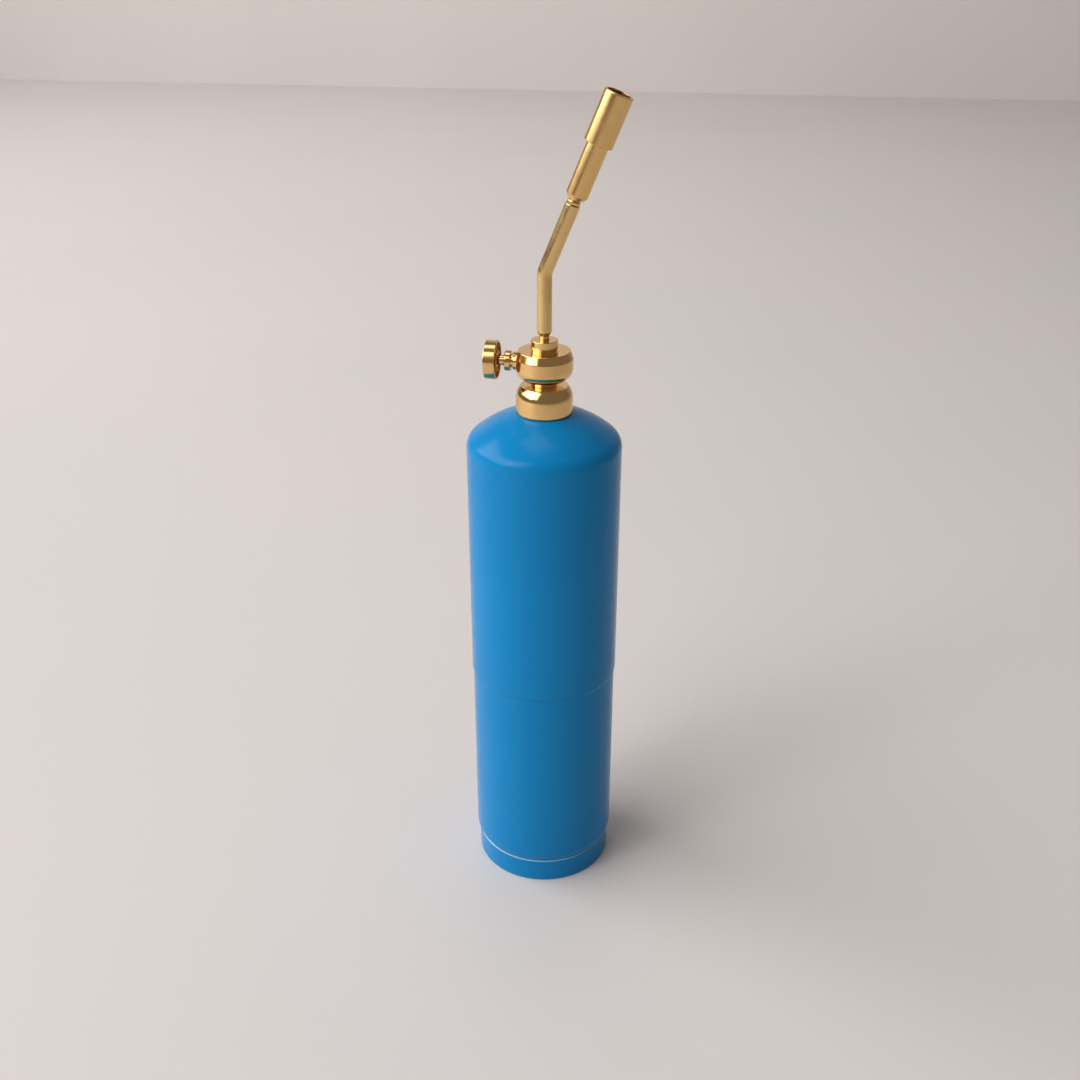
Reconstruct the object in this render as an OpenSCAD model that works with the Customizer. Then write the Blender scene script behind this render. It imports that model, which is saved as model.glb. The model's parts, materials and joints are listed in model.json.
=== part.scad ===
// Propane hand torch: a brass pencil-flame torch head on a disposable steel cylinder.
// Millimetres, +Z up. The origin is the centre of the foot ring, on the floor.
// The burner leans towards +X, the control knob is on -X, the relief valve on +Y.

/* [Cylinder] */
// Outside diameter of the upper shell
cylinder_d = 73; // [70:0.5:76]
// Wall thickness of the drawn shells
shell_t = 0.9; // [0.8:0.05:1]
// How much smaller the lower shell is, on the radius
lap_step = 0.55; // [0.5:0.05:0.7]
// Height of the upper shell's lower lip
lap_z = 115; // [100:1:130]
// Height of the lap inside the upper shell
lap_h = 10; // [6:1:14]
// Height at which the straight wall ends and the dome begins
wall_top_z = 234.7; // [220:0.1:245]
// Height at which the lower shell starts to turn in
wall_foot_z = 17.9; // [17.5:0.1:18.5]
// Knuckle radius of both ends
knuckle_r = 7.7; // [7.4:0.1:8]
// Crown radius of the top dome
crown_r = 52.5; // [50:0.5:56]
// Crown radius of the lower end
foot_crown_r = 80; // [78:1:90]
// Height of the foot ring
foot_h = 12.6; // [12:0.1:13]
// Wall thickness of the foot ring
foot_t = 0.8; // [0.6:0.1:1]

/* [Cylinder valve] */
// Major diameter of the cylinder's male thread
thread_d = 11.12; // [11.1:0.01:11.15]
// Pitch of that thread, 28 turns to the inch
thread_pitch = 0.907; // [0.9:0.001:0.91]
// Distance of the relief valve from the cylinder's axis
relief_y = 19; // [18.5:0.5:21]

/* [Torch head] */
// Outside diameter of the coupling nut
nut_d = 26.5; // [25.5:0.1:27.5]
// Outside diameter of the neck between the nut and the valve body
neck_d = 11.6; // [11.4:0.1:11.6]
// Outside diameter of the valve body
body_d = 26.6; // [26:0.1:28]
// Diameter of the outlet nut's top flange
outlet_d = 12.5; // [12:0.1:13]
// Outside diameter of the feed tube
tube_d = 5.3; // [5.1:0.1:5.6]
// Height of the bend above the top of the dome
bend_rise = 63.2; // [58:0.1:70]
// Lean of the burner from upright
lean = 22.4; // [15:0.1:35]
// Radius of the bend on the tube's axis
bend_r = 9; // [7:0.5:12]
// Distance from the bend to the burner's rear face, along the tube
burner_from = 35.1; // [34:0.1:42]
// Outside diameter of the mixing tube
mixing_d = 9.8; // [9.6:0.1:10.4]
// Outside diameter of the flame tube
flame_d = 12.8; // [12.6:0.1:14]

/* [Control knob] */
// Diameter of the knob
knob_d = 17.9; // [16:0.1:20]
// Thickness of the knob
knob_t = 5.3; // [4.8:0.1:5.6]
// Distance of the knob's inner face from the torch's axis
knob_from = 21.7; // [21.4:0.1:23]
// Diameter of the needle stem
stem_d = 4.8; // [4.7:0.1:4.8]

/* [Hidden] */

$fn = 64;
eps = 0.02;          // hair gap between solids that only touch
cut = 1;             // how far a cutter runs past the face it opens
brass = [0.76, 0.6, 0.36];
dark_brass = [0.6, 0.46, 0.26];
paint = [0.11, 0.42, 0.64];
steel = [0.68, 0.69, 0.7];
rubber = [0.1, 0.1, 0.1];

// Cylinder
shell_r = cylinder_d / 2;
lower_r = shell_r - lap_step;
lap_r = shell_r - shell_t - eps;
lap_turn = 1;        // height over which the lower shell turns in under the lip
crown_drop = sqrt(pow(crown_r - knuckle_r, 2) - pow(shell_r - knuckle_r, 2));
dome_z = wall_top_z - crown_drop + crown_r;
foot_drop = wall_foot_z - foot_h;
foot_inner_r = lower_r - knuckle_r + sqrt(pow(knuckle_r, 2) - pow(foot_drop, 2)) + eps;
foot_r = foot_inner_r + foot_t;
foot_rest_w = 6;     // width of the ring that rests on the floor

// Boss and valve of the cylinder, as heights above the top of the dome
boss_r = 6.9;
boss_flange_r = 9;
boss_bore_r = 3.9;
boss_low = -5.5;
boss_shoulder = 0.5;
boss_top = 7.1;
weld_r = 8.4;
cartridge_low = -3.9;
cartridge_floor = -2.7;
cartridge_roof = 4.9;
cartridge_top = 6.5;
chamber_r = 3;
pin_r = 1.15;
pin_top = 6.8;
guide_gap = 0.05;    // radial clearance of a sliding pin
poppet_low = 1.6;
poppet_r = 2.7;
poppet_seal_from = 2.6;
poppet_seal_to = 3.65;
relief_r = 3.2;
relief_low = -7.4;
relief_floor = -6.4; // seat of the relief valve
relief_seat_gap = 0.05;
relief_disc_h = 0.9;
relief_roof = -1.2;  // underside of the wall that its stem slides in
relief_top = -0.4;
relief_chamber_r = 2.3;
relief_pin_r = 0.95;

// Torch head, as heights above the top of the dome
nut_low = -1.2;
nut_top = 11.5;
nut_cone_r = 12.85;   // radius of the nut's lower face
nut_flat_r = 10.9;   // radius at which the nut's top flat ends
nut_wall_low = -0.35;
nut_wall_top = 5.8;
seat_low = 8.3;      // lower end of the neck
inlet_bore_r = 2;
inlet_mouth_r = 2.6;
inlet_mouth_h = 2.1;
groove_mid = 9.7;    // middle of the snap ring's groove
groove_h = 0.94;
snap_wire_r = 0.42;
snap_groove_depth = 0.47;
body_low = 15.1;
body_top = 28;
body_low_r = 10;
body_flat_r = 12;    // radius at which the valve body's top flat ends
body_wall_top = 24.9;
body_turn = 20.7;    // height at which the body's lower side starts to turn in
shank_r = 4.5;       // spigot's thread in the valve body
stem_z = 22.1;
boss_end = 14.2;     // end of the stem boss, from the torch's axis
stem_boss_r = 4.1;
gland_r = 3.1;
gland_floor = 9.3;
needle_r = 1.45;
seat_r = 0.8;
stem_groove_mid = 12.6;
stem_groove_w = 0.9;
stem_groove_depth = 0.7;
outlet_shank_r = 4.2;
outlet_low = 24.2;
gasket_h = 0.8;
tube_flange_h = 0.6;
tube_flange_low = outlet_low + gasket_h;
tube_flange_top = tube_flange_low + tube_flange_h;
outlet_cap_low = 29.8;
outlet_top = 32.9;
stub_r = 2.15;
stub_top = 35;
tube_r = tube_d / 2;
tube_bore_r = 1.4;
bend_z = dome_z + bend_rise;
bend_leg = bend_r * tan(lean / 2);
bend_lap = 2;        // degrees by which the bend laps over each straight

// Burner, as distances from the bend along the leaning tube
tube_end = burner_from - 2.8;
collar_end = burner_from - 0.8;
jet_end = burner_from + 2.6;
mixing_end = burner_from + 26.6;
flame_from = burner_from + 23.9;
flame_to = burner_from + 46.1;
holder_to = burner_from + 31.6;
mixing_r = mixing_d / 2;
flame_r = flame_d / 2;
flame_bore_r = 5.2;
holder_from = holder_to - 3;
jet_r = 1.95;
jet_neck_r = 1.2;    // the jet's shank, in the collar's socket
jet_bore_r = 0.7;
socket_from = tube_end + 0.6;

knob_to = knob_from + knob_t;
knob_web = 3.2;
knob_r = knob_d / 2;
stem_r = stem_d / 2;
hub_r = 3.1;
hub_from = knob_from + 0.1;
tang_r = 1.6;
tang_flat = 1.15;    // distance of the tang's flat from its axis
screw_r = 0.95;
screw_recess = 0.5;

// Area under a torispherical end of radius r, whose straight wall ends at y = 0
module dome_area(r, knuckle, crown) {
    drop = sqrt(pow(crown - knuckle, 2) - pow(r - knuckle, 2));
    slope = atan2(drop, r - knuckle);
    heading = [cos(slope), sin(slope)];
    centre = [r - knuckle, 0];
    intersection() {
        translate(centre) circle(knuckle);
        translate(centre) square(knuckle);
    }
    intersection() {
        translate([0, -drop]) circle(crown, $fn = 256);
        polygon([[0, -drop], [0, -drop] + 2 * crown * heading, [0, 2 * crown]]);
    }
}

// A ring turned about Z, with the four edges at outer_r, inner_r, low and high
module ring(outer_r, inner_r, low, high) {
    rotate_extrude() translate([inner_r, low]) square([outer_r - inner_r, high - low]);
}

// Moves a child's z = 0 to the top of the dome
module above_dome() {
    translate([0, 0, dome_z]) children();
}

// Lays a child's Z axis along the knob's axis, from the torch's axis outwards
module along_stem() {
    translate([0, 0, dome_z + stem_z]) rotate([0, -90, 0]) children();
}

// Lays a child's Z axis along the leaning tube, from the bend outwards
module along_burner() {
    translate([0, 0, bend_z]) rotate([0, lean, 0]) children();
}

// Holes of radius r on a circle, from height low to high
module hole_circle(count, circle_r, r, low, high) {
    for (turn = [0 : count - 1])
        rotate([0, 0, turn * 360 / count]) translate([circle_r, 0, low])
            cylinder(r = r, h = high - low);
}

// Round wire wound from height low to high
module coil(mean_r, wire_r, turns, low, high) {
    sides = 8;
    per_turn = 14;
    steps = turns * per_turn;
    rise = high - low - 2 * wire_r;
    points = [for (i = [0 : steps]) let (a = 360 * i / per_turn, z = low + wire_r + rise * i / steps)
        for (j = [0 : sides - 1]) let (b = 360 * j / sides, r = mean_r + wire_r * cos(b))
            [r * cos(a), r * sin(a), z + wire_r * sin(b)]];
    walls = [for (i = [0 : steps - 1], j = [0 : sides - 1]) let (k = (j + 1) % sides)
        [i * sides + j, i * sides + k, (i + 1) * sides + k, (i + 1) * sides + j]];
    first = [for (j = [sides - 1 : -1 : 0]) j];
    last = [for (j = [0 : sides - 1]) steps * sides + j];
    polyhedron(points, concat([for (w = walls) [w[3], w[2], w[1], w[0]]], [last], [first]));
}

module lower_shell_area(t) {
    r = lower_r - t;
    translate([0, wall_foot_z]) mirror([0, 1]) dome_area(r, knuckle_r - t, foot_crown_r - t);
    translate([0, wall_foot_z]) square([r, lap_z - lap_turn - wall_foot_z]);
    polygon([[0, lap_z - lap_turn], [r, lap_z - lap_turn], [lap_r - t, lap_z], [lap_r - t, lap_z + lap_h],
             [0, lap_z + lap_h]]);
}

module lower_shell() {
    color(paint) rotate_extrude() difference() {
        lower_shell_area(0);
        lower_shell_area(shell_t);
    }
}

module upper_shell_area(t, low) {
    translate([0, low]) square([shell_r - t, wall_top_z - low]);
    translate([0, wall_top_z]) dome_area(shell_r - t, knuckle_r - t, crown_r - t);
}

module upper_shell() {
    color(paint) difference() {
        rotate_extrude() difference() {
            upper_shell_area(0, lap_z);
            upper_shell_area(shell_t, lap_z - cut);
            square([boss_r + eps, dome_z + cut]);
        }
        translate([0, relief_y, wall_top_z]) cylinder(r = relief_r + eps, h = dome_z - wall_top_z + cut);
    }
}

// Fillet of braze in the corner under the upper shell's lip
module girth_braze() {
    fillet = 0.3;
    color(paint) rotate_extrude()
        polygon([[lower_r, lap_z - lap_turn], [lower_r + fillet, lap_z], [lap_r, lap_z]]);
}

module foot_ring() {
    color(paint) rotate_extrude() {
        translate([foot_inner_r, 0]) square([foot_t, foot_h]);
        translate([foot_r - foot_rest_w, 0]) square([foot_rest_w, foot_t]);
    }
}

// Threaded boss, with its thread as turned grooves
module neck_boss() {
    crest = thread_d / 2;
    root = crest - 0.54;
    threads = floor((boss_top - boss_shoulder) / thread_pitch);
    relief = boss_top - threads * thread_pitch;
    throat_r = 2.3;
    flange_h = 1.85;
    flange_top = -1.75;
    color(steel) above_dome() rotate_extrude() difference() {
        union() {
            translate([0, boss_low]) square([boss_r, boss_shoulder - boss_low]);
            translate([0, flange_top - flange_h]) square([boss_flange_r, flange_h]);
            polygon(concat([[0, boss_shoulder], [root, boss_shoulder], [root, relief]],
                [for (i = [0 : threads - 1], side = [[crest, 0.5], [root, 1]])
                    [side[0], relief + (i + side[1]) * thread_pitch]],
                [[0, boss_top]]));
        }
        translate([0, cartridge_low]) square([boss_bore_r, boss_top - cartridge_low + cut]);
        translate([0, boss_low - cut]) square([throat_r, cartridge_low - boss_low + 2 * cut]);
    }
}

// Weld bead between the boss and the dome
module neck_weld() {
    function dome_rise(r) = sqrt(pow(crown_r, 2) - pow(r, 2)) - crown_r;
    color(steel) above_dome() rotate_extrude()
        polygon([[boss_r, dome_rise(boss_r)], [weld_r, dome_rise(weld_r)], [boss_r, boss_shoulder]]);
}

module valve_cartridge() {
    ports = 4;
    port_circle_r = 2.05;
    port_r = 0.4;
    color(brass) above_dome() difference() {
        ring(boss_bore_r, pin_r + guide_gap, cartridge_low, cartridge_top);
        ring(chamber_r, 0, cartridge_floor, cartridge_roof);
        hole_circle(ports, port_circle_r, port_r, cartridge_roof - cut, cartridge_top + cut);
    }
}

module valve_spring() {
    coil_r = 2;
    wire_r = 0.28;
    turns = 5;
    color(steel) above_dome() coil(coil_r, wire_r, turns, cartridge_floor, poppet_low);
}

module valve_pin() {
    color(brass) above_dome() {
        cylinder(r = pin_r, h = pin_top);
        translate([0, 0, poppet_low]) cylinder(r = poppet_r, h = poppet_seal_from - poppet_low);
    }
}

module poppet_seal() {
    color(rubber) above_dome() ring(poppet_r, pin_r, poppet_seal_from, poppet_seal_to);
}

// Moves a child to the relief valve's axis, with z = 0 level with the top of the dome
module relief_at() {
    translate([0, relief_y, dome_z]) children();
}

module relief_body() {
    vents = 3;
    vent_circle_r = 1.65;
    vent_r = 0.3;
    color(brass) relief_at() difference() {
        ring(relief_r, relief_pin_r + guide_gap, relief_low, relief_top);
        ring(relief_chamber_r, 0, relief_floor, relief_roof);
        hole_circle(vents, vent_circle_r, vent_r, relief_roof - cut, relief_top + cut);
    }
}

module relief_spring() {
    coil_r = 1.55;
    wire_r = 0.22;
    turns = 5;
    color(steel) relief_at()
        coil(coil_r, wire_r, turns, relief_floor + relief_seat_gap + relief_disc_h, relief_roof);
}

module relief_poppet() {
    disc_r = 2;
    disc_low = relief_floor + relief_seat_gap;
    pin_low = disc_low + relief_disc_h / 2;
    proud = 0.3;
    color(dark_brass) relief_at() {
        translate([0, 0, disc_low]) cylinder(r = disc_r, h = relief_disc_h);
        translate([0, 0, pin_low]) cylinder(r = relief_pin_r, h = relief_top + proud - pin_low);
    }
}

module inlet_seal() {
    gap = 0.03;
    seal_r = 5;
    color(rubber) above_dome() ring(seal_r, poppet_r, boss_top + gap, seat_low - gap);
}

// Neck of the head, screwed up into the valve body
module inlet_spigot() {
    neck_r = neck_d / 2;
    shank_top = body_low + 3.6;
    color(brass) above_dome() difference() {
        union() {
            ring(neck_r, inlet_bore_r, seat_low, body_low);
            ring(shank_r, inlet_bore_r, body_low, shank_top);
        }
        ring(inlet_mouth_r, 0, seat_low - cut, seat_low + inlet_mouth_h);
        translate([0, 0, groove_mid])
            ring(neck_r + cut, neck_r - snap_groove_depth, -groove_h / 2, groove_h / 2);
    }
}

// Split wire ring that holds the nut on the neck
module snap_ring() {
    wire_angle = 330;
    color(steel) above_dome() translate([0, 0, groove_mid])
        rotate_extrude(angle = wire_angle) translate([neck_d / 2, 0]) circle(snap_wire_r, $fn = 24);
}

// Pin on a drilled disc that pushes the cylinder's valve open
module depressor_pin() {
    disc_h = 1.3;
    disc_low = seat_low + inlet_mouth_h - disc_h;
    ports = 4;
    port_circle_r = 1.75;
    port_r = 0.4;
    push_r = 0.9;
    push_low = pin_top + guide_gap;
    color(dark_brass) above_dome() difference() {
        union() {
            translate([0, 0, push_low]) cylinder(r = push_r, h = disc_low + disc_h / 2 - push_low);
            translate([0, 0, disc_low]) cylinder(r = inlet_mouth_r, h = disc_h);
        }
        hole_circle(ports, port_circle_r, port_r, disc_low - cut, disc_low + disc_h + cut);
    }
}

module inlet_filter() {
    plug_h = 2.6;
    color(dark_brass) above_dome() translate([0, 0, seat_low + inlet_mouth_h])
        cylinder(r = inlet_bore_r, h = plug_h);
}

// Turned outside of the valve body: bevelled shoulder, lower side drawn in on an arc
module body_area() {
    r = body_d / 2;
    inset = r - body_low_r;
    fall = body_turn - body_low;
    arc_r = (pow(inset, 2) + pow(fall, 2)) / (2 * inset);
    polygon([[0, body_turn], [r, body_turn], [r, body_wall_top], [body_flat_r, body_top], [0, body_top]]);
    intersection() {
        translate([r - arc_r, body_turn]) circle(arc_r);
        translate([0, body_low]) square([r, fall]);
    }
}

module valve_body() {
    thread_roof = body_low + 4.1;
    inlet_x = -3.2;
    outlet_bore_r = 1.3;
    seat_from = 2;
    color(brass) difference() {
        union() {
            above_dome() rotate_extrude() body_area();
            along_stem() translate([0, 0, body_low_r]) cylinder(r = stem_boss_r, h = boss_end - body_low_r);
        }
        above_dome() {
            ring(shank_r, 0, body_low - cut, thread_roof);
            translate([inlet_x, 0, thread_roof - cut]) cylinder(r = seat_r, h = stem_z - thread_roof + cut);
            ring(outlet_bore_r, 0, stem_z, body_top);
            ring(outlet_shank_r, 0, outlet_low, body_top + cut);
        }
        along_stem() {
            cylinder(r = seat_r, h = boss_end);
            translate([0, 0, seat_from]) cylinder(r = needle_r + guide_gap, h = boss_end);
            translate([0, 0, gland_floor]) cylinder(r = gland_r, h = boss_end);
        }
    }
}

// Gland nut, screwed into the stem boss: a shank and a bevelled head
module gland_nut() {
    shank_from = gland_floor + 0.3;
    head_from = boss_end + 1.1;
    head_to = head_from + 2.8;
    head_r = 4.7;
    bevel = 0.4;
    color(brass) along_stem() rotate_extrude() polygon([
        [stem_r + guide_gap, shank_from], [gland_r, shank_from], [gland_r, head_from],
        [head_r - bevel, head_from],
        [head_r, head_from + bevel], [head_r, head_to - bevel], [head_r - bevel, head_to],
        [stem_r + guide_gap, head_to]]);
}

module stem_o_ring() {
    wire_r = 0.34;
    color(rubber) along_stem() translate([0, 0, stem_groove_mid])
        rotate_extrude() translate([stem_r - wire_r + eps, 0]) circle(wire_r, $fn = 24);
}

// Needle, shaft and flatted tang, turned from one rod
module needle_stem() {
    tip_from = 0.4;
    tip_r = 0.2;
    cone_to = 3.84;
    shaft_from = 9.9;
    tang_to = knob_to - 0.9;
    groove_low = stem_groove_mid - stem_groove_w / 2;
    groove_r = stem_r - stem_groove_depth;
    screw_depth = 3;
    color(brass) along_stem() difference() {
        union() {
            rotate_extrude() polygon([
                [0, tip_from], [tip_r, tip_from], [needle_r, cone_to], [needle_r, shaft_from],
                [stem_r, shaft_from], [stem_r, groove_low], [groove_r, groove_low],
                [groove_r, groove_low + stem_groove_w], [stem_r, groove_low + stem_groove_w],
                [stem_r, hub_from], [0, hub_from]]);
            tang(hub_from, tang_to);
        }
        translate([0, 0, knob_from - screw_depth]) cylinder(r = screw_r, h = knob_t + screw_depth);
    }
}

// Round bar with one flat, which turns the knob with the stem
module tang(from, to) {
    intersection() {
        translate([0, 0, from]) cylinder(r = tang_r, h = to - from);
        translate([-tang_r, -tang_r, from]) cube([tang_r + tang_flat, 2 * tang_r, to - from]);
    }
}

// Cupped knob: rim, web and hub, open towards the valve body
module control_knob() {
    rim = 0.9;
    bevel = 0.25;
    recess_r = 3.2;
    recess_from = knob_to - screw_recess;
    web_from = knob_to - knob_web;
    color(brass) along_stem() difference() {
        rotate_extrude() polygon([
            [0, hub_from], [hub_r, hub_from], [hub_r, web_from], [knob_r - rim, web_from],
            [knob_r - rim, knob_from], [knob_r - bevel, knob_from], [knob_r, knob_from + bevel],
            [knob_r, knob_to - bevel], [knob_r - bevel, knob_to], [recess_r, knob_to],
            [recess_r, recess_from], [0, recess_from]]);
        tang(0, knob_to + cut);
    }
}

module knob_screw() {
    shank_from = knob_from - 2.9;
    head_from = knob_to - screw_recess;
    head_r = 2.5;
    head_h = 1;
    crown_r2 = 2;
    crown_h = 0.4;
    slot_w = 0.7;
    slot_depth = 0.7;
    slot_from = head_from + head_h + crown_h - slot_depth;
    color(steel) along_stem() difference() {
        union() {
            translate([0, 0, shank_from]) cylinder(r = screw_r, h = head_from + head_h / 2 - shank_from);
            translate([0, 0, head_from]) cylinder(r = head_r, h = head_h);
            translate([0, 0, head_from + head_h]) cylinder(r1 = head_r, r2 = crown_r2, h = crown_h);
        }
        translate([-head_r, -slot_w / 2, slot_from]) cube([2 * head_r, slot_w, slot_depth + cut]);
    }
}

// Stepped nut that clamps the feed tube's flange
module outlet_nut() {
    cap_r = outlet_d / 2;
    waist_r = cap_r - 0.3;
    bevel = 0.25;
    color(brass) above_dome() rotate_extrude() polygon([
        [stub_r + guide_gap, tube_flange_top], [outlet_shank_r, tube_flange_top],
        [outlet_shank_r, body_top], [waist_r, body_top], [waist_r, outlet_cap_low], [cap_r, outlet_cap_low],
        [cap_r, outlet_top - bevel], [cap_r - bevel, outlet_top], [stub_r + guide_gap, outlet_top]]);
}

module outlet_gasket() {
    color(rubber) above_dome() ring(outlet_shank_r - 0.1, tube_bore_r, outlet_low, tube_flange_low);
}

// Round rod of radius r along the tube's path: two straights, and a bend a hair fatter
// that laps over the end of each
module tube_run(r) {
    stretch = bend_rise - bend_leg;
    above_dome() translate([0, 0, stub_top]) cylinder(r = r, h = stretch - stub_top);
    translate([bend_r, 0, bend_z - bend_leg]) rotate([90, 0, 0])
        rotate([0, 0, 180 - lean - bend_lap]) bend_ring(r + eps);
    along_burner() translate([0, 0, bend_leg]) cylinder(r = r, h = tube_end - bend_leg);
}

module bend_ring(r) {
    rotate_extrude(angle = lean + 2 * bend_lap) translate([bend_r, 0]) circle(r);
}

module feed_tube() {
    flange_r = 3.4;
    taper = 2.2;
    color(brass) difference() {
        union() {
            above_dome() {
                translate([0, 0, tube_flange_low]) cylinder(r = stub_r, h = stub_top - tube_flange_low);
                translate([0, 0, tube_flange_low]) cylinder(r = flange_r, h = tube_flange_h);
            }
            difference() {
                tube_run(tube_r);
                above_dome() rotate_extrude() polygon([
                    [stub_r, stub_top], [tube_r + cut, stub_top], [tube_r + cut, stub_top + taper],
                    [tube_r, stub_top + taper]]);
            }
        }
        tube_run(tube_bore_r);
        above_dome() ring(tube_bore_r, 0, tube_flange_low - cut, stub_top);
    }
}

// Rounded collar on the tube's end, with a shank in the tube and a socket for the jet
module jet_collar() {
    r = 3;
    bevel = 0.5;
    shank_from = tube_end - 3;
    color(brass) along_burner() rotate_extrude() polygon([
        [jet_bore_r, shank_from], [tube_bore_r, shank_from], [tube_bore_r, tube_end], [r - bevel, tube_end],
        [r, tube_end + bevel], [r, collar_end - bevel], [r - bevel, collar_end], [jet_neck_r, collar_end],
        [jet_neck_r, socket_from], [jet_bore_r, socket_from]]);
}

module jet() {
    orifice_r = 0.2;
    orifice_from = jet_end - 0.8;
    color(dark_brass) along_burner() rotate_extrude() polygon([
        [jet_bore_r, socket_from], [jet_neck_r, socket_from], [jet_neck_r, collar_end], [jet_r, collar_end],
        [jet_r, jet_end], [orifice_r, jet_end], [orifice_r, orifice_from], [jet_bore_r, orifice_from]]);
}

// Narrow stage of the burner: gas and air mix here, the air comes in by its rear wall
module mixing_tube() {
    bore_r = mixing_r - 0.8;
    rear_t = 2;
    bevel = 1;
    bevel_h = 1.6;
    ports = 6;
    port_circle_r = 3.05;
    port_r = 0.65;
    color(brass) along_burner() difference() {
        rotate_extrude() polygon([
            [jet_r, burner_from], [mixing_r - bevel, burner_from], [mixing_r, burner_from + bevel_h],
            [mixing_r, mixing_end], [bore_r, mixing_end], [bore_r, burner_from + rear_t],
            [jet_r, burner_from + rear_t]]);
        hole_circle(ports, port_circle_r, port_r, burner_from - cut, burner_from + rear_t + cut);
    }
}

// Wide stage of the burner, brazed over the mixing tube
module flame_tube() {
    mouth_bevel = 0.5;
    edge = 0.3;
    color(brass) along_burner() rotate_extrude() polygon([
        [mixing_r, flame_from], [flame_r - edge, flame_from], [flame_r, flame_from + edge],
        [flame_r, flame_to - edge], [flame_r - edge, flame_to], [flame_bore_r + mouth_bevel, flame_to],
        [flame_bore_r, flame_to - mouth_bevel], [flame_bore_r, holder_to], [mixing_r, holder_to]]);
}

module flame_holder() {
    centre_r = 1.3;
    ports = 8;
    port_circle_r = 3.3;
    port_r = 0.65;
    color(dark_brass) along_burner() difference() {
        ring(mixing_r, centre_r, holder_from, holder_to);
        hole_circle(ports, port_circle_r, port_r, holder_from - cut, holder_to + cut);
    }
}

// Turned outside of the coupling nut
module nut_area() {
    r = nut_d / 2;
    low_round = r - nut_cone_r;
    low_fall = nut_wall_low - nut_low;
    low_arc = (pow(low_round, 2) + pow(low_fall, 2)) / (2 * low_round);
    top_round = r - nut_flat_r;
    top_rise = nut_top - nut_wall_top;
    top_arc = (pow(top_round, 2) + pow(top_rise, 2)) / (2 * top_round);
    translate([0, nut_wall_low]) square([r, nut_wall_top - nut_wall_low]);
    intersection() {
        translate([r - low_arc, nut_wall_low]) circle(low_arc);
        translate([0, nut_low]) square([r, low_fall]);
    }
    intersection() {
        translate([r - top_arc, nut_wall_top]) circle(top_arc);
        translate([0, nut_wall_top]) square([r, top_rise]);
    }
}

module coupling_nut() {
    running = 0.06;
    collar_low = 7.8;
    mouth_r = 11.9;
    mouth_depth = 2.1;
    groove_depth = 0.5;
    color(brass) above_dome() rotate_extrude() difference() {
        nut_area();
        translate([0, nut_low - cut]) square([mouth_r, cut + mouth_depth]);
        square([thread_d / 2 + running, nut_top + cut]);
        translate([0, collar_low]) square([neck_d / 2 + running, nut_top]);
        translate([0, groove_mid - groove_h / 2]) square([neck_d / 2 + groove_depth, groove_h]);
    }
}

lower_shell();
upper_shell();
girth_braze();
foot_ring();
neck_boss();
neck_weld();
valve_cartridge();
valve_spring();
valve_pin();
poppet_seal();
relief_body();
relief_spring();
relief_poppet();
inlet_seal();
inlet_spigot();
snap_ring();
depressor_pin();
inlet_filter();
valve_body();
gland_nut();
stem_o_ring();
needle_stem();
control_knob();
knob_screw();
outlet_nut();
outlet_gasket();
feed_tube();
jet_collar();
jet();
mixing_tube();
flame_tube();
flame_holder();
coupling_nut();
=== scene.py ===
"""Looks of the propane hand torch, in the CAD frame: turned meshes, finishes, stage and lights."""
import json
import math

import bpy
from mathutils import Euler, Matrix, Vector


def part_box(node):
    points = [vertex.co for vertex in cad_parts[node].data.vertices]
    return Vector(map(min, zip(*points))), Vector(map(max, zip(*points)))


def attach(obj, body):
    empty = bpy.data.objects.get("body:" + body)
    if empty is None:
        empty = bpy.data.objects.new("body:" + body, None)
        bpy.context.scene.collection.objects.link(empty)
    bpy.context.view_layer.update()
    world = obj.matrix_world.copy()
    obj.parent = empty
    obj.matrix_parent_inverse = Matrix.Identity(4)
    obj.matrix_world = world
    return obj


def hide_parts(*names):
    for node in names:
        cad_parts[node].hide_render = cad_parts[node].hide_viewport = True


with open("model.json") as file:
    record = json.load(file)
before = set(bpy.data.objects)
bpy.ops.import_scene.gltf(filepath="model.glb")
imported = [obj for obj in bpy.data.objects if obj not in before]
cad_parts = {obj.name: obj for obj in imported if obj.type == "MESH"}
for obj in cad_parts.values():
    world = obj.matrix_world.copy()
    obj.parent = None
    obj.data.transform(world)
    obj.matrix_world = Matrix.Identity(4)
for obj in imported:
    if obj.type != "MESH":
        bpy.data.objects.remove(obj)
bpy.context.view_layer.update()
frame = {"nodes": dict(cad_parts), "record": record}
MM = 0.001


# ---------------------------------------------------------------- frame measures

def box_mm(node):
    """Lowest and highest corner of a CAD node, in millimetres."""
    low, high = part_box(node)
    return low / MM, high / MM


def burner_axis():
    """Where the leaning tube's line meets the torch's axis, and its lean, in radians."""
    mouth = next(m for m in frame["record"]["mounts"] if m["name"] == "burner_mouth")
    point, axis = Vector(mouth["pos_m"]), Vector(mouth["axis"]).normalized()
    return point - axis * (point.x / axis.x), math.atan2(axis.x, axis.z)


BEND, LEAN = burner_axis()
LOW_BOSS, HIGH_BOSS = box_mm("neck_boss")
BASE = box_mm("upper_shell")[1].z          # height of the top of the dome
STEM_Z = sum(c.z for c in box_mm("gland_nut")) / 2

UPRIGHT = Matrix.Identity(4)
ALONG_STEM = Matrix.Translation((0, 0, STEM_Z * MM)) @ Matrix.Rotation(-math.pi / 2, 4, "Y")
ALONG_BURNER = Matrix.Translation(BEND) @ Matrix.Rotation(LEAN, 4, "Y")


def stem_span(node):
    """Start and end of a node on the knob's axis, and its radius, in millimetres."""
    low, high = box_mm(node)
    return -high.x, -low.x, high.y


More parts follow.
